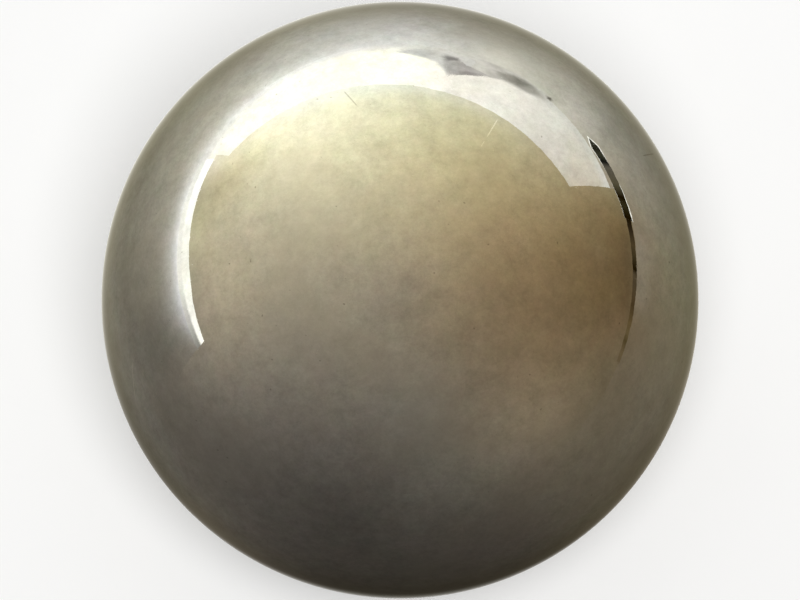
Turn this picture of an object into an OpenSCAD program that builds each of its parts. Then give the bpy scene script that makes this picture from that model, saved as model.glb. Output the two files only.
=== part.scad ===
// Steel ball: one solid ball of hardened steel, lapped true and polished bright.
// The origin is the centre of the ball and +Z is up. All sizes are in millimetres.

/* [Ball] */
// Diameter of the ball
ball_d = 25.4; // [1:0.1:100]

/* [Hidden] */
// Sides of the circle that the preview draws for a round form
$fn = 128;

// The ball is the same in every direction, so it needs no turning into place.
module ball() {
    color([0.66, 0.65, 0.61])
        sphere(d = ball_d);
}

ball();
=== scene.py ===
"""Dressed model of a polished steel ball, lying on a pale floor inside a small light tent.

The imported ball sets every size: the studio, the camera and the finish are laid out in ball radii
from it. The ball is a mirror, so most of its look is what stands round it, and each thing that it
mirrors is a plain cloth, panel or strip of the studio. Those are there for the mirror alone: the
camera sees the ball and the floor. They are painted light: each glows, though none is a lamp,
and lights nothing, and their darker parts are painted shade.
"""
import logging
import math
from dataclasses import dataclass, field
from enum import Enum

import bmesh
import bpy
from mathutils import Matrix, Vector


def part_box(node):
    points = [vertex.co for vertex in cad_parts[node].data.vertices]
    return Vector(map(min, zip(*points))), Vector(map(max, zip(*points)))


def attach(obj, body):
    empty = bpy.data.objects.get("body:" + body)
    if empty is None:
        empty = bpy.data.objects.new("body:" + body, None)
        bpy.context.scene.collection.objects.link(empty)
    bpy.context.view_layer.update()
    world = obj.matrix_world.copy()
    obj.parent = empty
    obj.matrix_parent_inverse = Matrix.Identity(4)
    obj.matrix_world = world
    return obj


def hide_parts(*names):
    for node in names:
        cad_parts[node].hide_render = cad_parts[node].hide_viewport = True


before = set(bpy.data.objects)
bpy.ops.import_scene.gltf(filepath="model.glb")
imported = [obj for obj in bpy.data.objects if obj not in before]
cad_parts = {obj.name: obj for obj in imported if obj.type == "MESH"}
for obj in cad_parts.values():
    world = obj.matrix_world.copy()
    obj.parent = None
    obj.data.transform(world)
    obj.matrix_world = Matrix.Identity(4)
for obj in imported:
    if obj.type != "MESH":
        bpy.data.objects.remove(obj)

log = logging.getLogger("steel_ball")

BALL_NODE = "ball"
BODY = "root"

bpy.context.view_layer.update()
BALL_LOW, BALL_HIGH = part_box(BALL_NODE)
RADIUS = (BALL_HIGH[2] - BALL_LOW[2]) / 2.0
MM = 0.001

Colour = tuple[float, float, float]
Span = tuple[float, float]  # where a range starts and ends
Aim = tuple[float, float]  # azimuth and elevation in degrees, from the ball's centre
Turn = tuple[float, float, float]  # degrees about X, Y and Z
Socket = bpy.types.NodeSocket


def direction(azimuth_deg: float, elevation_deg: float) -> Vector:
    """Gives a unit vector.

    Args:
        azimuth_deg: Angle from +Y towards +X, in degrees.
        elevation_deg: Angle above the level, in degrees.

    Returns:
        The unit vector that points there.
    """
    azimuth = math.radians(azimuth_deg)
    elevation = math.radians(elevation_deg)
    level = math.cos(elevation)
    return Vector((level * math.sin(azimuth), level * math.cos(azimuth), math.sin(elevation)))


def rgba(colour: Colour) -> tuple[float, float, float, float]:
    """Gives a colour with full alpha, as a colour socket takes it."""
    return (*colour, 1.0)


class Ramp(Enum):
    """How a value passes from one end of a span to the other."""

    EVEN = "LINEAR"
    SOFT = "SMOOTHSTEP"


class Shade:
    """A material's node tree, with short calls for the nodes that the finishes here share."""

    def __init__(self, name: str) -> None:
        """Starts an empty node material.

        Args:
            name: Name of the material.
        """
        self.material = bpy.data.materials.new(name)
        self.material.use_nodes = True
        self.tree = self.material.node_tree
        self.tree.nodes.clear()
        self.output = self.tree.nodes.new("ShaderNodeOutputMaterial")

    def node(self, kind: str, **settings: object) -> bpy.types.Node:
        """Adds a node and sets its properties.

        Args:
            kind: The node's type name, without the ShaderNode prefix.
            settings: Values for the node's own properties.

        Returns:
            The new node.
        """
        node = self.tree.nodes.new(f"ShaderNode{kind}")
        for key, value in settings.items():
            setattr(node, key, value)
        return node

    def link(self, source: Socket, target: Socket) -> None:
        """Links an output to an input."""
        self.tree.links.new(source, target)

    def feed(self, socket: Socket, value: object) -> None:
        """Links a socket into another, or sets it to a plain value.

        Args:
            socket: The input to fill.
            value: An output socket, or a number, vector or colour.
        """
        if isinstance(value, Socket):
            self.link(value, socket)
        else:
            socket.default_value = value

    def math(self, operation: str, *values: object, clamp: bool = False) -> Socket:
        """Adds a Math node.

        Args:
            operation: Name of the operation.
            values: One to three inputs, each a number or an output socket.
            clamp: Whether the result is held between 0 and 1.

        Returns:
            The node's result.
        """
        node = self.node("Math", operation=operation, use_clamp=clamp)
        for socket, value in zip(node.inputs, values):
            self.feed(socket, value)
        return node.outputs[0]

    def vector(self, operation: str, *values: object) -> Socket:
        """Adds a Vector Math node.

        Args:
            operation: Name of the operation.
            values: One to three inputs, each a vector or an output socket.

        Returns:
            The node's result: a number for a dot product or a length, and else a vector.
        """
        node = self.node("VectorMath", operation=operation)
        for socket, value in zip(node.inputs, values):
            self.feed(socket, value)
        return node.outputs["Value" if operation in ("DOT_PRODUCT", "LENGTH") else "Vector"]

    def object_point(self) -> Socket:
        """Gives the point's own place in the piece, in metres."""
        return self.node("TexCoord").outputs["Object"]

    def facing(self) -> Socket:
        """Gives the unit vector from the ball's centre to the point."""
        return self.vector("NORMALIZE", self.object_point())

    def azimuth(self) -> Socket:
        """Reads the point's angle round the ball.

        Returns:
            The angle from +Y towards +X, in radians.
        """
        split = self.node("SeparateXYZ")
        self.link(self.object_point(), split.inputs[0])
        return self.math("ARCTAN2", split.outputs["X"], split.outputs["Y"])

    def rise(self) -> Socket:
        """Reads how high the point stands, seen from the ball's centre.

        Returns:
            The sine of its elevation.
        """
        split = self.node("SeparateXYZ")
        self.link(self.facing(), split.inputs[0])
        return split.outputs["Z"]

    def noise(self, size: float, detail: float = 2.0, roughness: float = 0.5, distortion: float = 0.0,
              point: Socket | None = None, output: str = "Fac") -> Socket:
        """Adds a noise pattern in the piece's own coordinates.

        Args:
            size: Width of one blotch, in metres.
            detail: Number of finer layers.
            roughness: Strength of the finer layers.
            distortion: How far the pattern is swirled.
            point: The place that is read, where it isn't the point's own.
            output: Which output: one value, or a colour of three.

        Returns:
            The noise value, about 0.3 to 0.7.
        """
        node = self.node("TexNoise")
        self.link(self.object_point() if point is None else point, node.inputs["Vector"])
        node.inputs["Scale"].default_value = 1.0 / size
        node.inputs["Detail"].default_value = detail
        node.inputs["Roughness"].default_value = roughness
        node.inputs["Distortion"].default_value = distortion
        return node.outputs[output]

    def spread(self, value: Socket, low: float, high: float, to_low: float = 0.0, to_high: float = 1.0,
               ramp: Ramp = Ramp.SOFT) -> Socket:
        """Maps a span of a value onto another span, and holds it there.

        Args:
            value: The value to map.
            low: Start of the span.
            high: End of the span.
            to_low: Result at the start.
            to_high: Result at the end.
            ramp: How it passes from one to the other.

        Returns:
            The mapped value.
        """
        node = self.node("MapRange", interpolation_type=ramp.value)
        self.link(value, node.inputs["Value"])
        for name, number in (("From Min", low), ("From Max", high), ("To Min", to_low), ("To Max", to_high)):
            node.inputs[name].default_value = number
        return node.outputs["Result"]

    def turn_span(self, start_deg: float, end_deg: float, ramp: Ramp = Ramp.SOFT) -> Socket:
        """Gives a share that grows from 0 to 1 between two azimuths."""
        return self.spread(self.azimuth(), math.radians(start_deg), math.radians(end_deg), ramp=ramp)

    def blend(self, factor: object, first: object, second: object) -> Socket:
        """Mixes two colours.

        Args:
            factor: Share of the second colour, a number or a socket.
            first: Colour at 0.
            second: Colour at 1.

        Returns:
            The mixed colour.
        """
        node = self.node("Mix", data_type="RGBA")
        self.feed(node.inputs["Factor"], factor)
        self.feed(node.inputs["A"], first)
        self.feed(node.inputs["B"], second)
        return node.outputs["Result"]

    def along(self, share: Socket, stops: tuple[tuple[float, Colour], ...]) -> Socket:
        """Passes through a row of colours.

        Args:
            share: How far along the row, from 0 to 1.
            stops: Each colour's place and the colour. The places grow, at any scale.

        Returns:
            The colour.
        """
        first = stops[0][0]
        length = stops[-1][0] - first
        node = self.node("ValToRGB")
        self.link(share, node.inputs["Fac"])
        elements = node.color_ramp.elements
        elements.remove(elements[-1])
        elements[0].position = 0.0
        elements[0].color = rgba(stops[0][1])
        for place, colour in stops[1:]:
            elements.new((place - first) / length).color = rgba(colour)
        return node.outputs["Color"]

    def emit(self, colour: object) -> Socket:
        """Adds a shader that shines with a colour.

        Args:
            colour: The light, a colour or a socket.

        Returns:
            The shader.
        """
        glow = self.node("Emission")
        self.feed(glow.inputs["Color"], colour)
        return glow.outputs[0]

    def mix(self, share: Socket, first: Socket, second: Socket) -> Socket:
        """Mixes two shaders.

        Args:
            share: Share of the second shader.
            first: Shader at 0.
            second: Shader at 1.

        Returns:
            The mixed shader.
        """
        node = self.node("MixShader")
        for source, socket in zip((share, first, second), node.inputs):
            self.link(source, socket)
        return node.outputs[0]

    def finish(self, shader: Socket) -> bpy.types.Material:
        """Makes a shader the material's surface.

        Args:
            shader: The shader.

        Returns:
            The finished material.
        """
        self.link(shader, self.output.inputs["Surface"])
        return self.material


@dataclass(frozen=True)
class Hairline:
    """One fine scratch: an arc on the ball between two points.

    The width is a share of the radius, and the core is the share of the width that shows in full.
    A scratch thins out towards its ends: the greater the fullness, the more of it stays strong.
    """

    start: Aim
    end: Aim
    width: float = 0.003
    core: float = 0.3
    fullness: float = 2.0

    def mask(self, shade: Shade, facing: Socket) -> Socket:
        """Gives 1 along the middle of the scratch and 0 off it.

        Args:
            shade: The material.
            facing: Unit vector from the ball's centre to the point.

        Returns:
            The mask.
        """
        first = direction(*self.start)
        last = direction(*self.end)
        middle = (first + last).normalized()
        across = first.cross(last).normalized()
        aside = shade.math("ABSOLUTE", shade.vector("DOT_PRODUCT", facing, across))
        narrow = shade.spread(aside, self.width * self.core, self.width, 1.0, 0.0)
        reach = shade.vector("DOT_PRODUCT", facing, middle)
        within = shade.spread(reach, middle.dot(first), 1.0, 0.0, self.fullness)
        return shade.math("MULTIPLY", narrow, within, clamp=True)


@dataclass(frozen=True)
class PolishedSteel:
    """Finish of the ball: hardened steel, lapped to a mirror, with the faint marks of handling.

    A size is the width of one blotch of a pattern, and the levels are the noise values between
    which a mark grows from nothing to its full strength.
    """

    bright_tone: Colour = (0.585, 0.58, 0.555)
    dull_tone: Colour = (0.385, 0.38, 0.36)
    film_tone: Colour = (0.465, 0.45, 0.41)
    scratch_tone: Colour = (0.62, 0.61, 0.57)
    speck_tone: Colour = (0.20, 0.19, 0.17)
    edge_tint: Colour = (0.44, 0.42, 0.36)
    cast: float = 0.14
    polish: float = 0.012
    haze: float = 0.035
    mark_roughness: float = 0.25
    ripple_size: float = 0.35 * MM
    ripple_depth: float = 0.0006 * MM
    mottle_size: float = 1.0 * MM
    mottle_levels: Span = (0.3, 0.7)
    cast_size: float = 1.5 * MM
    cloud_size: float = 6.0 * MM
    cloud_levels: Span = (0.45, 0.7)
    cloud_strength: float = 0.5
    film_size: float = 3.0 * MM
    film_levels: Span = (0.5, 0.75)
    line_size: float = 0.07 * MM
    line_stretch: float = 16.0
    line_levels: Span = (0.80, 0.90)
    line_strength: float = 0.35
    line_turns: tuple[Turn, ...] = ((20.0, 35.0, 0.0), (-50.0, 10.0, 70.0), (75.0, -30.0, 130.0))
    speck_size: float = 0.16 * MM
    speck_levels: Span = (0.84, 0.92)
    speck_strength: float = 0.6
    nick_strength: float = 0.5
    scratches: tuple[Hairline, ...] = (
        Hairline((52.5, 66.7), (60.5, 71.7), 0.0025),
        Hairline((61.5, 72.2), (65.0, 73.6), 0.0015),
        Hairline((160.0, -30.0), (163.5, -37.0), 0.0025),
        Hairline((-118.0, 12.0), (-112.0, 20.0), 0.0025),
    )
    nicks: tuple[Hairline, ...] = (
        Hairline((70.5, 33.0), (67.5, 24.5), 0.003),
        Hairline((66.0, 60.2), (66.8, 60.6), 0.004),
        Hairline((-28.5, 67.5), (-27.0, 73.0), 0.003),
    )

    def material(self) -> bpy.types.Material:
        """Builds the material.

        Returns:
            The node material.
        """
        shade = Shade("polished_steel")
        steel = shade.node("BsdfPrincipled")
        steel.inputs["Metallic"].default_value = 1.0
        steel.inputs["Specular Tint"].default_value = rgba(self.edge_tint)
        scratched = self.scratched(shade)
        specks = self.specks(shade)
        shade.link(self.tone(shade, scratched, specks), steel.inputs["Base Color"])
        shade.link(self.sheen(shade, scratched, specks), steel.inputs["Roughness"])
        ripple = shade.noise(self.ripple_size, detail=2.0)
        grooves = shade.math("SUBTRACT", shade.math("SUBTRACT", ripple, scratched), specks)
        bump = shade.node("Bump")
        bump.inputs["Distance"].default_value = self.ripple_depth
        shade.link(grooves, bump.inputs["Height"])
        shade.link(bump.outputs[0], steel.inputs["Normal"])
        return shade.finish(steel.outputs[0])

    def scratched(self, shade: Shade) -> Socket:
        """Draws the scratches: a few plain ones, and short faint ones all over.

        Args:
            shade: The material.

        Returns:
            The mask: 1 on a scratch and 0 off it.
        """
        total = self.handling_lines(shade)
        facing = shade.facing()
        for scratch in self.scratches:
            total = shade.math("MAXIMUM", total, scratch.mask(shade, facing))
        return total

    def handling_lines(self, shade: Shade) -> Socket:
        """Draws short, straight, faint lines that run three ways.

        Args:
            shade: The material.

        Returns:
            The mask.
        """
        drawing = Vector((1.0 / self.line_stretch, 1.0, 1.0))
        lines = None
        for turn in self.line_turns:
            turned = shade.node("VectorRotate", rotation_type="EULER_XYZ")
            shade.link(shade.object_point(), turned.inputs["Vector"])
            turned.inputs["Rotation"].default_value = [math.radians(angle) for angle in turn]
            drawn_out = shade.vector("MULTIPLY", turned.outputs[0], drawing)
            noise = shade.noise(self.line_size, detail=0.0, point=drawn_out)
            peaks = shade.spread(noise, *self.line_levels, 0.0, self.line_strength)
            lines = peaks if lines is None else shade.math("MAXIMUM", lines, peaks)
        return lines

    def specks(self, shade: Shade) -> Socket:
        """Draws the dull marks: a few faint nicks, and tiny specks spread at random.

        Args:
            shade: The material.

        Returns:
            The mask.
        """
        noise = shade.noise(self.speck_size, detail=0.0)
        total = shade.spread(noise, *self.speck_levels, 0.0, self.speck_strength)
        facing = shade.facing()
        for nick in self.nicks:
            faint = shade.math("MULTIPLY", nick.mask(shade, facing), self.nick_strength)
            total = shade.math("MAXIMUM", total, faint)
        return total

    def tone(self, shade: Shade, scratched: Socket, specks: Socket) -> Socket:
        """Gives the steel's colour: a fine mottle with a faint cast, a film in clouds, and the marks.

        Args:
            shade: The material.
            scratched: The scratches.
            specks: The specks.

        Returns:
            The colour.
        """
        noise = shade.noise(self.mottle_size, detail=6.0, roughness=0.9)
        mottle = shade.spread(noise, *self.mottle_levels, ramp=Ramp.EVEN)
        grey = shade.blend(mottle, rgba(self.dull_tone), rgba(self.bright_tone))
        tints = shade.noise(self.cast_size, detail=4.0, roughness=0.85, output="Color")
        spread = Vector((self.cast, self.cast, self.cast))
        even = Vector((1.0, 1.0, 1.0)) - spread / 2.0
        metal = shade.vector("MULTIPLY", grey, shade.vector("MULTIPLY_ADD", tints, spread, even))
        clouds = shade.noise(self.cloud_size, detail=3.0)
        film = shade.spread(clouds, *self.cloud_levels, 0.0, self.cloud_strength)
        filmed = shade.blend(film, metal, rgba(self.film_tone))
        marked = shade.blend(specks, filmed, rgba(self.speck_tone))
        return shade.blend(scratched, marked, rgba(self.scratch_tone))

    def sheen(self, shade: Shade, scratched: Socket, specks: Socket) -> Socket:
        """Gives the roughness: a mirror, with a thin film in patches and duller marks.

        Args:
            shade: The material.
            scratched: The scratches.
            specks: The specks.

        Returns:
            The roughness.
        """
        film = shade.noise(self.film_size, detail=4.0, roughness=0.6, distortion=0.6)
        surface = shade.spread(film, *self.film_levels, self.polish, self.haze)
        marks = shade.math("MAXIMUM", scratched, specks)
        return shade.math("MULTIPLY_ADD", marks, self.mark_roughness, surface)


@dataclass(frozen=True)
class Plane:
    """A cutting plane. It keeps the side that its normal points to."""

    point: Vector
    normal: Vector

    def keeps(self, place: Vector) -> bool:
        """Tells whether a place is on the side that is kept."""
        return (place - self.point).dot(self.normal) > 0.0

    def cut(self, shape: bmesh.types.BMesh, clear: bool = False) -> None:
        """Cuts a shape along the plane.

        Args:
            shape: The shape.
            clear: Whether what lies on the other side is removed.
        """
        bmesh.ops.bisect_plane(
            shape, geom=shape.verts[:] + shape.edges[:] + shape.faces[:], dist=1e-6,
            plane_co=self.point, plane_no=self.normal, clear_inner=clear,
        )


def sloping(height: float, slope_x: float, slope_y: float, up: bool = True) -> Plane:
    """Gives a plane that is nearly level.

    Args:
        height: Its height at the ball's centre, in radii.
        slope_x: Its rise per length along X.
        slope_y: Its rise per length along Y.
        up: Whether it keeps what is above it.

    Returns:
        The plane.
    """
    normal = Vector((-slope_x, -slope_y, 1.0))
    return Plane(Vector((0.0, 0.0, height)), normal if up else -normal)


VALANCE = sloping(0.945, 0.124, 0.414, up=False)


class Sheet(Enum):
    """The sheet of the tent that a patch of light lies on."""

    CLOTH = "cloth"
    FLOOR = "floor"
    BOTH = "both"


@dataclass(frozen=True)
class Glow:
    """One soft patch of light or shade in the tent.

    The greater its tightness, the narrower it is. The gain is what it adds to the logarithm of
    the light at its middle, so that a gain below 0 is shade.
    """

    name: str
    azimuth: float
    elevation: float
    tightness: float
    gain: Colour
    sheet: Sheet = Sheet.BOTH


@dataclass(frozen=True)
class TentLight:
    """Light of the tent's dome and floor: it doubles and halves smoothly from side to side.

    The logarithm of each of red, green and blue is a level plus a slope along a fixed direction,
    and each patch adds to it. Most patches run on from the dome over the floor. The valance, the
    cloth above the window, also glows along its lower edge: the rim's glow fades upwards within
    its reach, in ball radii, and at either side over a span of azimuths.
    """

    level: Colour = (-0.95, -1.05, -1.40)
    slope_red: Colour = (0.10, 0.70, 0.85)
    slope_green: Colour = (0.10, 0.70, 0.85)
    slope_blue: Colour = (0.0, 0.50, 0.80)
    valance_rim: Colour = (0.08, 0.09, 0.22)
    valance_reach: float = 1.5
    valance_left: Span = (-75.0, -50.0)
    valance_right: Span = (20.0, 60.0)
    patches: tuple[Glow, ...] = (
        Glow("window_spill", 0.0, 0.0, 2.0, (0.40, 0.55, 1.00)),
        Glow("bright_corner", -40.0, 25.0, 5.0, (0.60, 0.60, 0.55)),
        Glow("left_patch", -100.0, 20.0, 10.0, (0.45, 0.40, 0.30)),
        Glow("hem_spill", -78.0, 10.0, 60.0, (0.25, 0.28, 0.25)),
        Glow("brown_side", 105.0, 35.0, 3.0, (-0.46, -0.71, -0.92)),
        Glow("brown_edge", 88.0, 12.0, 12.0, (-0.14, -0.18, -0.28)),
        Glow("brown_foot", 80.0, 5.0, 20.0, (-0.30, -0.45, -0.65)),
        Glow("warm_front", 135.0, 10.0, 12.0, (0.50, 0.50, 0.50)),
        Glow("dark_front", -170.0, -10.0, 8.0, (-0.30, -0.30, -0.30)),
        Glow("valance_glow", -47.0, 17.0, 40.0, (0.20, 0.18, 0.10)),
        Glow("valance_shade", 18.0, 42.0, 8.0, (-0.11, -0.11, -0.20)),
        Glow("hem_light", -71.0, 4.0, 120.0, (0.24, 0.25, 0.27)),
        Glow("corner_spill", -54.0, 9.0, 150.0, (0.30, 0.30, 0.40)),
        Glow("olive_side", -62.0, 14.0, 30.0, (-0.14, -0.17, -0.34)),
        Glow("near_right", 90.0, -45.0, 12.0, (0.70, 0.70, 0.80)),
        Glow("near_left", -65.0, -45.0, 12.0, (0.70, 0.75, 0.80)),
        Glow("dusk_left", -96.0, -13.0, 90.0, (-0.34, -0.32, -0.30)),
        Glow("front_shade", -170.0, -30.0, 10.0, (-0.25, -0.25, -0.25)),
        Glow("foot_left", -98.0, -20.0, 90.0, (0.22, 0.22, 0.22)),
        Glow("foot_front_left", -126.0, -42.0, 40.0, (0.45, 0.45, 0.42)),
        Glow("foot_front_right", 126.0, -42.0, 40.0, (0.22, 0.22, 0.22)),
        Glow("foot_front", 155.0, -28.0, 30.0, (-0.18, -0.20, -0.15)),
        Glow("foot_front_near", -142.0, -45.0, 30.0, (0.45, 0.45, 0.50)),
        Glow("front_middle", 167.0, 3.0, 25.0, (0.08, 0.13, 0.15)),
        Glow("overhead", -175.0, 68.0, 40.0, (-0.13, -0.13, -0.07)),
        Glow("brown_spill", 82.0, 14.0, 100.0, (0.08, 0.13, 0.27)),
        Glow("brown_end", 98.0, 2.0, 150.0, (0.13, 0.08, 0.12)),
        Glow("front_haze", 173.0, 32.0, 28.0, (0.03, 0.09, 0.15)),
        Glow("foot_haze", 178.0, -7.0, 35.0, (0.11, 0.12, 0.12)),
        Glow("tape_shade_back", 71.0, 0.0, 250.0, (-0.20, -0.24, -0.28), Sheet.CLOTH),
        Glow("tape_shade_side", 80.0, 0.0, 250.0, (-0.24, -0.26, -0.20), Sheet.CLOTH),
        Glow("tape_shade_front", 89.0, -2.0, 250.0, (-0.20, -0.22, -0.22), Sheet.CLOTH),
        Glow("floor_back", -15.0, -12.0, 4.0, (-0.08, -0.11, -0.09), Sheet.FLOOR),
        Glow("floor_side", 68.0, -14.0, 6.0, (0.14, 0.17, 0.42), Sheet.FLOOR),
        Glow("floor_sill", 8.0, -5.0, 7.0, (0.24, 0.23, 0.32), Sheet.FLOOR),
        Glow("floor_corner", 42.0, -4.0, 100.0, (0.20, 0.20, 0.26), Sheet.FLOOR),
        Glow("floor_right", 46.0, -13.0, 120.0, (-0.24, -0.22, -0.24), Sheet.FLOOR),
        Glow("floor_drape", 21.0, -3.0, 250.0, (0.20, 0.20, 0.20), Sheet.FLOOR),
        Glow("floor_far_right", 78.0, -24.0, 25.0, (-0.04, -0.01, -0.17), Sheet.FLOOR),
        Glow("floor_middle", 13.0, -12.0, 80.0, (-0.16, -0.18, -0.22), Sheet.FLOOR),
        Glow("floor_tape_back", 75.0, -6.0, 350.0, (0.18, 0.24, 0.38), Sheet.FLOOR),
        Glow("floor_tape_side", 81.0, -6.0, 350.0, (0.18, 0.24, 0.38), Sheet.FLOOR),
        Glow("floor_tape_front", 87.0, -7.0, 350.0, (0.18, 0.24, 0.38), Sheet.FLOOR),
        Glow("floor_near", -16.0, -23.0, 60.0, (0.25, 0.26, 0.24), Sheet.FLOOR),
        Glow("floor_near_left", -38.0, -24.0, 60.0, (0.20, 0.22, 0.20), Sheet.FLOOR),
    )

    def patches_on(self, sheet: Sheet) -> tuple[Glow, ...]:
        """Gives the patches that lie on one of the sheets."""
        return tuple(patch for patch in self.patches if patch.sheet in (sheet, Sheet.BOTH))

    def colour(self, shade: Shade, sheet: Sheet) -> Socket:
        """Gives the light that leaves each point of a sheet.

        Args:
            shade: The sheet's material.
            sheet: Which sheet it is.

        Returns:
            The light, as a colour.
        """
        facing = shade.facing()
        slopes = (self.slope_red, self.slope_green, self.slope_blue)
        channels = [
            shade.math("ADD", shade.vector("DOT_PRODUCT", facing, Vector(slope)), level)
            for slope, level in zip(slopes, self.level)
        ]
        for patch in self.patches_on(sheet):
            toward = shade.vector("DOT_PRODUCT", facing, direction(patch.azimuth, patch.elevation))
            fade = shade.math("MULTIPLY", shade.math("SUBTRACT", toward, 1.0), patch.tightness)
            strength = shade.math("EXPONENT", fade)
            strength.node.label = patch.name
            channels = [
                shade.math("MULTIPLY_ADD", strength, gain, channel)
                for gain, channel in zip(patch.gain, channels)
            ]
        colour = shade.node("CombineColor")
        for socket, channel in zip(colour.inputs, channels):
            shade.link(shade.math("EXPONENT", channel), socket)
        return colour.outputs[0]

    def cloth(self, radius: float) -> bpy.types.Material:
        """Builds the material of the dome, whose cloth glows along the window's upper edge.

        Args:
            radius: The ball's radius, in metres.

        Returns:
            The node material.
        """
        shade = Shade("tent_cloth")
        rise = shade.vector("DOT_PRODUCT", shade.object_point(), -VALANCE.normal / radius)
        above = shade.math("ADD", rise, VALANCE.normal.dot(VALANCE.point))
        nearness = shade.spread(above, 0.0, self.valance_reach, 1.0, 0.0)
        sides = shade.math(
            "SUBTRACT", shade.turn_span(*self.valance_left), shade.turn_span(*self.valance_right)
        )
        share = shade.math("MULTIPLY", nearness, sides)
        glow = shade.vector("MULTIPLY_ADD", share, Vector(self.valance_rim), Vector((1.0, 1.0, 1.0)))
        light = shade.vector("MULTIPLY", self.colour(shade, Sheet.CLOTH), glow)
        return shade.finish(shade.emit(light))


@dataclass(frozen=True)
class PaleFloor:
    """Finish of the floor: matt pale paper.

    In the ball it shows painted light in place of the paper: it glows as the tent would light it,
    bright below the window, with a painted pool of light beside the ball, a painted band of daylight
    low along the floor and painted shade at the front.
    Close to the ball the plain paper shows in the ball too, with the ball's own shadow on it.
    Distances from the ball's centre are in ball radii.
    """

    colour: Colour = (0.97, 0.97, 0.965)
    worn_colour: Colour = (0.955, 0.955, 0.95)
    wear_size: float = 30.0 * MM
    wear_levels: Span = (0.4, 0.7)
    tent: TentLight = field(default_factory=TentLight)
    plain_within: float = 1.16
    tent_beyond: float = 1.43
    near_light: Colour = (0.55, 0.55, 0.53)
    near_reach: Span = (1.5, 3.0)
    near_azimuth: float = -20.0
    near_side: Span = (-0.45, 1.0)
    daylight: Colour = (1.70, 1.80, 2.05)
    daylight_fade: float = 26.0
    daylight_left: Span = (-108.0, -86.0)
    daylight_right: Span = (-85.0, 20.0)

    def material(self, radius: float) -> bpy.types.Material:
        """Builds the material.

        Args:
            radius: The ball's radius, in metres.

        Returns:
            The node material.
        """
        shade = Shade("pale_floor")
        paper = shade.node("BsdfPrincipled")
        paper.inputs["Roughness"].default_value = 1.0
        paper.inputs["Specular IOR Level"].default_value = 0.0
        wear = shade.spread(shade.noise(self.wear_size, detail=5.0, roughness=0.6), *self.wear_levels)
        shade.link(shade.blend(wear, rgba(self.colour), rgba(self.worn_colour)), paper.inputs["Base Color"])
        away = shade.math("DIVIDE", shade.vector("LENGTH", shade.object_point()), radius)
        far = shade.spread(away, self.plain_within, self.tent_beyond)
        # for the mirror's rays the floor beyond plain_within glows with painted light and shade in place of
        # the paper
        mirrored = shade.math("MULTIPLY", far, shade.node("LightPath").outputs["Is Glossy Ray"])
        lit = shade.emit(self.tent_lit(shade, away))
        return shade.finish(shade.mix(mirrored, paper.outputs[0], lit))

    def tent_lit(self, shade: Shade, away: Socket) -> Socket:
        """Gives the painted light that the floor shows in the mirror inside the tent.

        Args:
            shade: The floor's material.
            away: Distance from the ball's centre, in ball radii.

        Returns:
            The light, as a colour.
        """
        light = self.tent.colour(shade, Sheet.FLOOR)
        for colour, strength in (
            (self.daylight, self.daylight_share(shade)), (self.near_light, self.near_share(shade, away)),
        ):
            scaled = shade.node("VectorMath", operation="SCALE")
            scaled.inputs[0].default_value = colour
            shade.link(strength, scaled.inputs["Scale"])
            light = shade.vector("ADD", light, scaled.outputs[0])
        return light

    def near_share(self, shade: Shade, away: Socket) -> Socket:
        """Finds how much of the painted pool of light lies beside the ball, on the window's side.

        Args:
            shade: The floor's material.
            away: Distance from the ball's centre, in ball radii.

        Returns:
            The share, from 0 to 1.
        """
        close = shade.spread(away, *self.near_reach, 1.0, 0.0)
        towards = shade.vector("DOT_PRODUCT", shade.facing(), direction(self.near_azimuth, 0.0))
        return shade.math("MULTIPLY", close, shade.spread(towards, *self.near_side))

    def daylight_share(self, shade: Shade) -> Socket:
        """Finds how much of the painted daylight lies at the open side, low along the floor.

        Args:
            shade: The floor's material.

        Returns:
            The share, from 0 to 1.
        """
        reach = shade.math("EXPONENT", shade.math("MULTIPLY", shade.rise(), self.daylight_fade))
        rising = shade.turn_span(*self.daylight_left)
        falling = shade.math("SUBTRACT", 1.0, shade.turn_span(*self.daylight_right))
        return shade.math("MULTIPLY", reach, shade.math("MULTIPLY", rising, falling))


@dataclass(frozen=True)
class PanelLight:
    """Light of a plain panel, which changes evenly between its stops.

    Each stop is an azimuth in degrees and the light there, from left to right.
    """

    name: str
    stops: tuple[tuple[float, Colour], ...]

    def colour(self, shade: Shade) -> Socket:
        """Gives the light at each point.

        Args:
            shade: The panel's material.

        Returns:
            The light, as a colour.
        """
        share = shade.turn_span(self.stops[0][0], self.stops[-1][0], Ramp.EVEN)
        return shade.along(share, self.stops)

    def material(self) -> bpy.types.Material:
        """Builds the material.

        Returns:
            The node material.
        """
        shade = Shade(self.name)
        return shade.finish(shade.emit(self.colour(shade)))


@dataclass(frozen=True)
class SillLight:
    """Light of a panel that stands on the floor: bright above, and dimmer along its foot.

    One passes into the other between two elevations, in degrees.
    """

    upper: PanelLight
    lower: PanelLight
    elevations: Span

    def material(self) -> bpy.types.Material:
        """Builds the material.

        Returns:
            The node material.
        """
        shade = Shade(self.upper.name)
        heights = [math.sin(math.radians(elevation)) for elevation in self.elevations]
        raised = shade.spread(shade.rise(), *heights)
        light = shade.blend(raised, self.lower.colour(shade), self.upper.colour(shade))
        return shade.finish(shade.emit(light))


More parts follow.
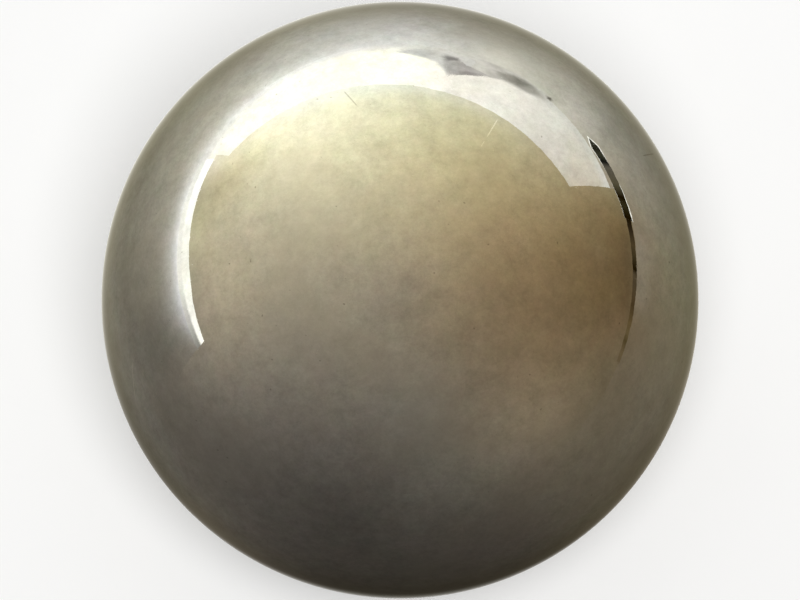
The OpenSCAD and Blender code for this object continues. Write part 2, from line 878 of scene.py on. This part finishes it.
@dataclass(frozen=True)
class Fold:
    """One fold of the grey drape: a flat facet of glowing cloth that thins out towards its rim.

    Sheer is the share of the way in from the rim over which it thins out, the blotch is in ball
    radii, and uneven is how dark its darker blotches are.
    """

    name: str
    tone: Colour
    sheer: float
    rim: tuple[Aim, ...]
    blotch: float = 1.2
    blotch_levels: Span = (0.35, 0.65)
    uneven: float = 0.86
    cover: str = "cover"

    def shape(self, distance: float) -> bmesh.types.BMesh:
        """Makes the facet, and marks how far each point is from its rim.

        Args:
            distance: Its distance from the ball's centre.

        Returns:
            The facet.
        """
        shape = bmesh.new()
        cover = shape.verts.layers.float.new(self.cover)
        face = shape.faces.new([shape.verts.new(direction(*point) * distance) for point in self.rim])
        middle = bmesh.ops.poke(shape, faces=[face])
        for vertex in middle["verts"]:
            vertex[cover] = 1.0
        return shape

    def material(self, radius: float) -> bpy.types.Material:
        """Builds the material.

        Args:
            radius: The ball's radius, in metres.

        Returns:
            The node material.
        """
        shade = Shade(f"{self.name}_cloth")
        darker = tuple(channel * self.uneven for channel in self.tone)
        blotches = shade.spread(shade.noise(self.blotch * radius, detail=2.0), *self.blotch_levels)
        colour = shade.blend(blotches, rgba(self.tone), rgba(darker))
        depth = shade.node("Attribute", attribute_name=self.cover).outputs["Fac"]
        thickness = shade.spread(depth, 0.0, self.sheer)
        clear = shade.node("BsdfTransparent").outputs[0]
        return shade.finish(shade.mix(thickness, clear, shade.emit(colour)))


# Each fold's tone is painted light: the folds glow, and the darker ones are painted shade in the heap's
# creases and hollows.
DRAPE = (
    Fold("left_base_fold", (1.48, 1.48, 1.43), 0.3, (
        (-2.8, 6.0), (0.2, 7.5), (5.2, 9.5), (8.7, 11.8), (12.2, 18.0), (16.3, 14.5), (20.9, 11.0),
        (22.4, 2.5), (10.2, 1.0), (0.1, 3.0),
    )),
    Fold("right_base_fold", (1.35, 1.34, 1.25), 0.35, (
        (14.3, 10.5), (20.9, 11.3), (24.4, 8.7), (30.6, 7.7), (35.1, 4.5), (37.6, 0.5), (34.6, -1.6),
        (26.5, -1.8), (18.3, 0.5), (14.3, 3.5),
    )),
    Fold("peak_fold", (1.02, 1.00, 0.96), 0.35, (
        (12.2, 18.2), (15.3, 15.2), (20.2, 12.3), (22.9, 9.0), (16.0, 7.6), (14.3, 4.2), (9.7, 3.7),
        (8.5, 6.6), (9.7, 11.6),
    )),
    Fold("ridge_fold", (0.76, 0.73, 0.70), 0.7, (
        (12.5, 17.7), (15.9, 14.9), (19.9, 12.2), (21.9, 9.7), (19.4, 9.5), (15.8, 11.0), (13.3, 14.0),
    )),
    Fold("crease_fold", (0.56, 0.54, 0.53), 0.8, (
        (8.5, 6.8), (10.7, 9.8), (12.7, 8.0), (14.9, 6.1), (13.0, 4.6), (9.6, 4.9),
    )),
    Fold("lump_fold", (0.80, 0.79, 0.71), 0.5, (
        (22.4, 8.6), (26.5, 7.4), (30.5, 6.9), (33.8, 5.0), (35.1, 2.1), (31.6, -0.7), (28.5, -1.2),
        (24.5, 0.7), (20.4, 4.6),
    )),
    Fold("core_fold", (0.54, 0.54, 0.47), 0.8, (
        (24.5, 1.2), (26.0, 5.1), (27.5, 6.9), (29.5, 5.1), (30.9, 2.6), (30.1, 0.1), (27.5, 1.6),
    )),
    Fold("spot_fold", (0.30, 0.29, 0.24), 0.9, (
        (33.1, 0.1), (33.9, 1.8), (35.4, 1.6), (35.5, -0.4), (34.4, -1.4),
    )),
)


def new_object(name: str, shape: bmesh.types.BMesh, material: bpy.types.Material) -> bpy.types.Object:
    """Turns a bmesh into an object at the origin.

    Args:
        name: Name of the object.
        shape: The shape, which is freed.
        material: The material of all its faces.

    Returns:
        The object, linked to the scene.
    """
    mesh = bpy.data.meshes.new(name)
    for face in shape.faces:
        face.smooth = True
    shape.to_mesh(mesh)
    shape.free()
    mesh.materials.append(material)
    piece = bpy.data.objects.new(name, mesh)
    bpy.context.scene.collection.objects.link(piece)
    return piece


@dataclass
class SteelBall:
    """The ball: a sphere whose faces are even quads, so that no pole shows in its mirror."""

    radius: float
    cuts: int = 95
    finish: PolishedSteel = field(default_factory=PolishedSteel)

    def build(self) -> bpy.types.Object:
        """Makes the ball, ties it to its body and hides the imported part.

        Returns:
            The ball.
        """
        shape = bmesh.new()
        bmesh.ops.create_cube(shape, size=2.0)
        bmesh.ops.subdivide_edges(shape, edges=shape.edges[:], cuts=self.cuts, use_grid_fill=True)
        for vertex in shape.verts:
            vertex.co = self.even_point(vertex.co) * self.radius
        piece = new_object("steel_ball", shape, self.finish.material())
        piece.data.normals_split_custom_set_from_vertices(
            [vertex.co.normalized() for vertex in piece.data.vertices]
        )
        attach(piece, BODY)
        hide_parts(BALL_NODE)
        return piece

    @staticmethod
    def even_point(point: Vector) -> Vector:
        """Moves a point of a cube onto the unit sphere with even steps along each edge.

        Args:
            point: Point on the cube from -1 to 1.

        Returns:
            The point on the sphere of radius 1.
        """
        return Vector([math.tan(value * math.pi / 4.0) for value in point]).normalized()


def upright(azimuth: float, rightwards: bool, lean: float = 0.0) -> Plane:
    """Gives a plane through the ball's centre that is upright, or leans to one side.

    Args:
        azimuth: The azimuth that it runs along, at the centre's height.
        rightwards: Whether it keeps the greater azimuths.
        lean: How far it leans out to the side, per height.

    Returns:
        The plane.
    """
    aside = direction(azimuth + (90.0 if rightwards else -90.0), 0.0)
    return Plane(Vector((0.0, 0.0, 0.0)), aside + Vector((0.0, 0.0, lean)))


@dataclass
class Tent:
    """The tent round the ball: a dome of cloth, open at the back, and the window beyond it.

    Lengths are in ball radii and angles in degrees. The dome stands on the floor, off centre.
    """

    radius: float
    light: TentLight = field(default_factory=TentLight)
    dome_centre: Vector = field(default_factory=lambda: Vector((1.5, 4.0, -1.0)))
    dome_radius: float = 8.0
    tape_gap: float = 0.1
    opening_left: float = -52.5
    opening_right: float = 60.8
    opening_lean: float = 0.05
    hem_end: float = -107.5
    window_distance: float = 70.0
    strip_distance: float = 60.0
    drape_distance: float = 18.5
    fold_gap: float = 0.1

    def stage(self, piece: bpy.types.Object) -> bpy.types.Object:
        """Makes a piece of the studio that only the ball's mirror shows, by hiding it from all other rays.

        Args:
            piece: The piece.

        Returns:
            The same piece.
        """
        piece.visible_camera = False
        piece.visible_diffuse = False
        piece.visible_shadow = False
        piece.visible_transmission = False
        piece.visible_volume_scatter = False
        return piece

    def shell(self, radius: float, cuts: tuple[Plane, ...]) -> bmesh.types.BMesh:
        """Makes a sphere round the dome's centre and cuts away what each plane doesn't keep.

        Args:
            radius: The sphere's radius.
            cuts: The planes.

        Returns:
            What is left of the sphere.
        """
        shape = bmesh.new()
        bmesh.ops.create_uvsphere(shape, u_segments=96, v_segments=64, radius=radius)
        bmesh.ops.translate(shape, verts=shape.verts, vec=self.dome_centre)
        for plane in cuts:
            plane.cut(shape, clear=True)
        return shape

    def scaled(self, name: str, shape: bmesh.types.BMesh, material: bpy.types.Material) -> bpy.types.Object:
        """Brings a shape in ball radii to its true size and makes it a piece of the studio."""
        bmesh.ops.scale(shape, vec=[self.radius] * 3, verts=shape.verts)
        return self.stage(new_object(name, shape, material))

    def dome(self) -> bpy.types.Object:
        """Makes the dome, with the window's opening at the back and the slit under the left hem.

        Returns:
            The dome.
        """
        foot = sloping(-1.03, 0.027, 0.0)
        shape = self.shell(self.dome_radius, (foot,))
        under_hem = sloping(1.09, 0.0, 0.05, up=False)
        under_hem_end = sloping(1.07, 0.0, 0.163, up=False)
        right_of_left = upright(self.opening_left, rightwards=True)
        left_of_right = upright(self.opening_right, rightwards=False, lean=self.opening_lean)
        before_hem_end = upright(self.hem_end, rightwards=True)
        for plane in (VALANCE, under_hem, under_hem_end, right_of_left, left_of_right, before_hem_end):
            plane.cut(shape)
        opening = []
        for face in shape.faces:
            middle = face.calc_center_median()
            left_part = not right_of_left.keeps(middle)
            in_window = VALANCE.keeps(middle) and not left_part and left_of_right.keeps(middle)
            below_hem = under_hem.keeps(middle) and under_hem_end.keeps(middle)
            in_slit = below_hem and left_part and before_hem_end.keeps(middle)
            if in_window or in_slit:
                opening.append(face)
        bmesh.ops.delete(shape, geom=opening, context="FACES")
        return self.scaled("tent_dome", shape, self.light.cloth(self.radius))

    @staticmethod
    def rounded_end(azimuth: float) -> tuple[Plane, Plane]:
        """Gives the two leaning planes that round off a ribbon's left end."""
        return upright(azimuth, rightwards=True, lean=-1.5), upright(azimuth, rightwards=True, lean=1.0)

    def tape(self) -> list[bpy.types.Object]:
        """Makes the black tape along the dome's right foot, and a pale rim along it: a painted highlight.

        Returns:
            The ribbons of the tape and of its backing.
        """
        top = sloping(-0.60, 0.0, 0.13, up=False)
        low = sloping(-1.29, 0.0, 0.122)
        tail_top = sloping(-0.47, 0.0, 0.07, up=False)
        tail_low = sloping(-0.79, 0.0, 0.03)
        rim_top = sloping(-1.10, 0.0, 0.21, up=False)
        rim_tip = sloping(-0.37, 0.0, -0.02)
        rim_low = sloping(-1.53, 0.0, 0.154)
        rounded = self.rounded_end(47.0)
        rim_rounded = self.rounded_end(46.4)
        # the tape's light: mostly dark, with painted sheen and glints in its lighter stretches
        black = PanelLight("tape_light", (
            (47.0, (0.10, 0.10, 0.07)), (50.0, (0.03, 0.03, 0.02)), (51.5, (0.08, 0.08, 0.05)),
            (53.5, (0.01, 0.01, 0.01)), (55.0, (0.21, 0.19, 0.15)), (59.0, (0.17, 0.15, 0.09)),
            (62.5, (0.02, 0.01, 0.00)), (64.5, (0.06, 0.05, 0.02)), (67.5, (0.02, 0.01, 0.00)),
            (71.0, (0.06, 0.04, 0.02)), (74.5, (0.13, 0.09, 0.04)), (78.0, (0.07, 0.05, 0.02)),
            (80.5, (0.02, 0.01, 0.00)), (82.0, (0.15, 0.11, 0.06)), (89.5, (0.11, 0.07, 0.03)),
            (94.0, (0.20, 0.14, 0.06)), (97.0, (0.23, 0.17, 0.08)), (99.0, (0.14, 0.10, 0.04)),
            (101.0, (0.22, 0.16, 0.08)), (105.0, (0.24, 0.18, 0.10)),
        )).material()
        # painted highlight: the bright rim that glints along the tape's edges
        pale = PanelLight("tape_glint_light", (
            (46.0, (2.2, 2.2, 2.1)), (56.0, (1.5, 1.5, 1.4)), (66.0, (2.4, 2.4, 2.3)),
            (68.0, (1.0, 1.0, 0.9)),
        )).material()
        behind = self.dome_radius - self.tape_gap
        before = behind - self.tape_gap
        return [
            self.ribbon("tape_front", before, (top, low, *rounded), (46.8, 68.0), black),
            self.ribbon("tape_tail", before, (tail_top, tail_low), (68.0, 105.0), black),
            self.ribbon("tape_glint_tip", behind, (rim_top, rim_tip, *rim_rounded), (46.0, 56.0), pale),
            self.ribbon("tape_glint_foot", behind, (top, rim_low), (59.0, 68.0), pale),
        ]

    def ribbon(self, name: str, radius: float, edges: tuple[Plane, ...], azimuths: Span,
               light: bpy.types.Material) -> bpy.types.Object:
        """Makes a ribbon that lies along the inside of the dome.

        Args:
            name: Name of the piece.
            radius: Its distance from the dome's centre.
            edges: The planes of its edges.
            azimuths: Its left and right ends.
            light: The material that gives its light.

        Returns:
            The ribbon.
        """
        ends = (upright(azimuths[0], rightwards=True), upright(azimuths[1], rightwards=False))
        return self.scaled(name, self.shell(radius, (*edges, *ends)), light)

    def band(self, name: str, distance: float, azimuths: Span, elevations: Span,
             light: bpy.types.Material) -> bpy.types.Object:
        """Makes a curved panel round the ball.

        Args:
            name: Name of the piece.
            distance: Its distance from the ball's centre.
            azimuths: Its left and right ends.
            elevations: Its lower and upper edges.
            light: The material that gives its light.

        Returns:
            The panel.
        """
        shape = bmesh.new()
        low, high = elevations
        start = shape.verts.new(direction(azimuths[0], low) * distance)
        tilt_axis = direction(azimuths[0] + 90.0, 0.0)
        bmesh.ops.spin(
            shape, geom=[start], cent=(0, 0, 0), axis=tilt_axis, angle=math.radians(high - low), steps=12
        )
        bmesh.ops.spin(
            shape, geom=shape.verts[:] + shape.edges[:], cent=(0, 0, 0), axis=(0, 0, -1),
            angle=math.radians(azimuths[1] - azimuths[0]), steps=48,
        )
        return self.scaled(name, shape, light)

    def drape(self) -> list[bpy.types.Object]:
        """Makes the grey drape that stands in a heap on the floor, in front of the window.

        Returns:
            Its folds, each a little nearer than the one before.
        """
        folds = []
        for layer, fold in enumerate(DRAPE):
            shape = fold.shape(self.drape_distance - self.fold_gap * layer)
            folds.append(self.scaled(fold.name, shape, fold.material(self.radius)))
        return folds

    def window(self) -> bpy.types.Object:
        """Makes the bright window beyond the opening, with its dimmer sill.

        Returns:
            The window.
        """
        panes = PanelLight("window_light", (
            (-54.0, (2.00, 1.95, 1.65)), (-47.0, (2.50, 2.50, 2.25)), (0.0, (2.50, 2.50, 2.15)),
            (13.0, (2.00, 1.97, 1.80)), (30.0, (1.82, 1.80, 1.68)), (42.0, (1.44, 1.42, 1.30)),
            (52.0, (1.32, 1.24, 1.09)), (60.0, (1.14, 1.05, 0.86)),
        ))
        sill = PanelLight("window_sill", (
            (-54.0, (1.75, 1.75, 1.65)), (-25.0, (2.10, 2.12, 2.10)), (-5.0, (1.80, 1.81, 1.78)),
            (10.0, (1.35, 1.35, 1.27)), (60.0, (1.33, 1.32, 1.22)),
        ))
        return self.band(
            "window_panel", self.window_distance, azimuths=(-54.0, 63.0), elevations=(-1.5, 34.0),
            light=SillLight(panes, sill, elevations=(-0.1, 4.5)).material(),
        )

    def strip(self) -> bpy.types.Object:
        """Makes the bright strip that shows below the hem at the left.

        Returns:
            The strip.
        """
        upper = PanelLight("low_strip_light", ((-75.0, (2.05, 2.05, 1.90)), (-54.0, (2.50, 2.50, 2.45))))
        foot = PanelLight("low_strip_foot", (
            (-106.0, (0.35, 0.34, 0.30)), (-98.0, (0.95, 0.95, 0.88)), (-84.0, (1.85, 1.85, 1.75)),
        ))
        return self.band(
            "low_strip", self.strip_distance, azimuths=(-112.0, -52.0), elevations=(-1.5, 9.0),
            light=SillLight(upper, foot, elevations=(0.9, 2.0)).material(),
        )

    def build(self) -> list[bpy.types.Object]:
        """Builds the dome, what lies along its foot and what shows through its openings.

        Returns:
            The tent's pieces.
        """
        return [self.dome(), *self.tape(), self.window(), self.strip(), *self.drape()]


@dataclass
class Floor:
    """The floor that the ball lies on, a wide round sheet."""

    radius: float
    reach: float = 150.0
    finish: PaleFloor = field(default_factory=PaleFloor)

    def build(self) -> bpy.types.Object:
        """Makes the floor under the ball's lowest point.

        Returns:
            The floor.
        """
        shape = bmesh.new()
        reach = self.reach * self.radius
        bmesh.ops.create_circle(shape, cap_ends=True, cap_tris=True, segments=128, radius=reach)
        bmesh.ops.translate(shape, verts=shape.verts, vec=(0.0, 0.0, -self.radius))
        piece = new_object("floor", shape, self.finish.material(self.radius))
        return piece


@dataclass
class Daylight:
    """The soft key light from above the camera, and the pale surroundings that fill the shadow."""

    azimuth: float = 175.0
    elevation: float = 66.0
    softness: float = 28.0
    fill: float = 0.35
    backdrop: float = 0.97

    def key(self) -> None:
        """Adds the key light, which lights the floor and isn't mirrored."""
        light = bpy.data.lights.new("key_light", "SUN")
        light.angle = math.radians(self.softness)
        light.energy = (1.0 - self.fill) * math.pi / math.sin(math.radians(self.elevation))
        lamp = bpy.data.objects.new("key_light", light)
        lamp.rotation_euler = direction(self.azimuth, self.elevation).to_track_quat("Z", "Y").to_euler()
        lamp.visible_glossy = False
        bpy.context.scene.collection.objects.link(lamp)

    def surroundings(self) -> None:
        """Sets the world: the backdrop's pale tone to look at and in mirrors, and a soft fill elsewhere."""
        world = bpy.data.worlds.new("pale_surroundings")
        world.use_nodes = True
        tree = world.node_tree
        background = tree.nodes["Background"]
        rays = tree.nodes.new("ShaderNodeLightPath")
        seen = tree.nodes.new("ShaderNodeMath")
        seen.operation = "MAXIMUM"
        tree.links.new(rays.outputs["Is Camera Ray"], seen.inputs[0])
        tree.links.new(rays.outputs["Is Glossy Ray"], seen.inputs[1])
        strength = tree.nodes.new("ShaderNodeMapRange")
        strength.inputs["To Min"].default_value = self.fill
        strength.inputs["To Max"].default_value = self.backdrop
        tree.links.new(seen.outputs[0], strength.inputs["Value"])
        tree.links.new(strength.outputs[0], background.inputs["Strength"])
        background.inputs["Color"].default_value = (1.0, 1.0, 1.0, 1.0)
        bpy.context.scene.world = world

    def build(self) -> None:
        """Adds the key light and the world."""
        self.key()
        self.surroundings()


@dataclass
class Viewpoint:
    """The camera, looking down at the ball, which fills the picture's height."""

    radius: float
    elevation: float = 67.0
    lens: float = 200.0
    sensor: float = 36.0
    picture_shape: float = 600.0 / 800.0
    filled: float = 0.995
    nearest: float = 0.001
    farthest: float = 100.0

    def build(self) -> bpy.types.Object:
        """Adds the camera and makes it the scene's own.

        Returns:
            The camera.
        """
        data = bpy.data.cameras.new("camera")
        data.lens = self.lens
        data.sensor_width = self.sensor
        data.clip_start = self.nearest
        data.clip_end = self.farthest
        half_height = self.sensor * self.picture_shape / 2.0
        half_angle = math.atan(self.filled * half_height / self.lens)
        toward = direction(180.0, self.elevation)
        camera = bpy.data.objects.new("camera", data)
        camera.location = toward * (self.radius / math.sin(half_angle))
        camera.rotation_euler = toward.to_track_quat("Z", "Y").to_euler()
        bpy.context.scene.collection.objects.link(camera)
        bpy.context.scene.camera = camera
        return camera


def main() -> None:
    """Builds the ball and its studio."""
    logging.basicConfig(level=logging.INFO, format="%(message)s")
    Viewpoint(RADIUS).build()
    ball = SteelBall(RADIUS).build()
    log.info("%s: %d faces, radius %.2f mm", ball.name, len(ball.data.polygons), RADIUS / MM)
    for piece in (Floor(RADIUS).build(), *Tent(RADIUS).build()):
        log.info("%s: %d faces, of the studio", piece.name, len(piece.data.polygons))
    Daylight().build()
    bpy.context.scene.view_settings.view_transform = "Standard"


if __name__ == "__main__":
    main()
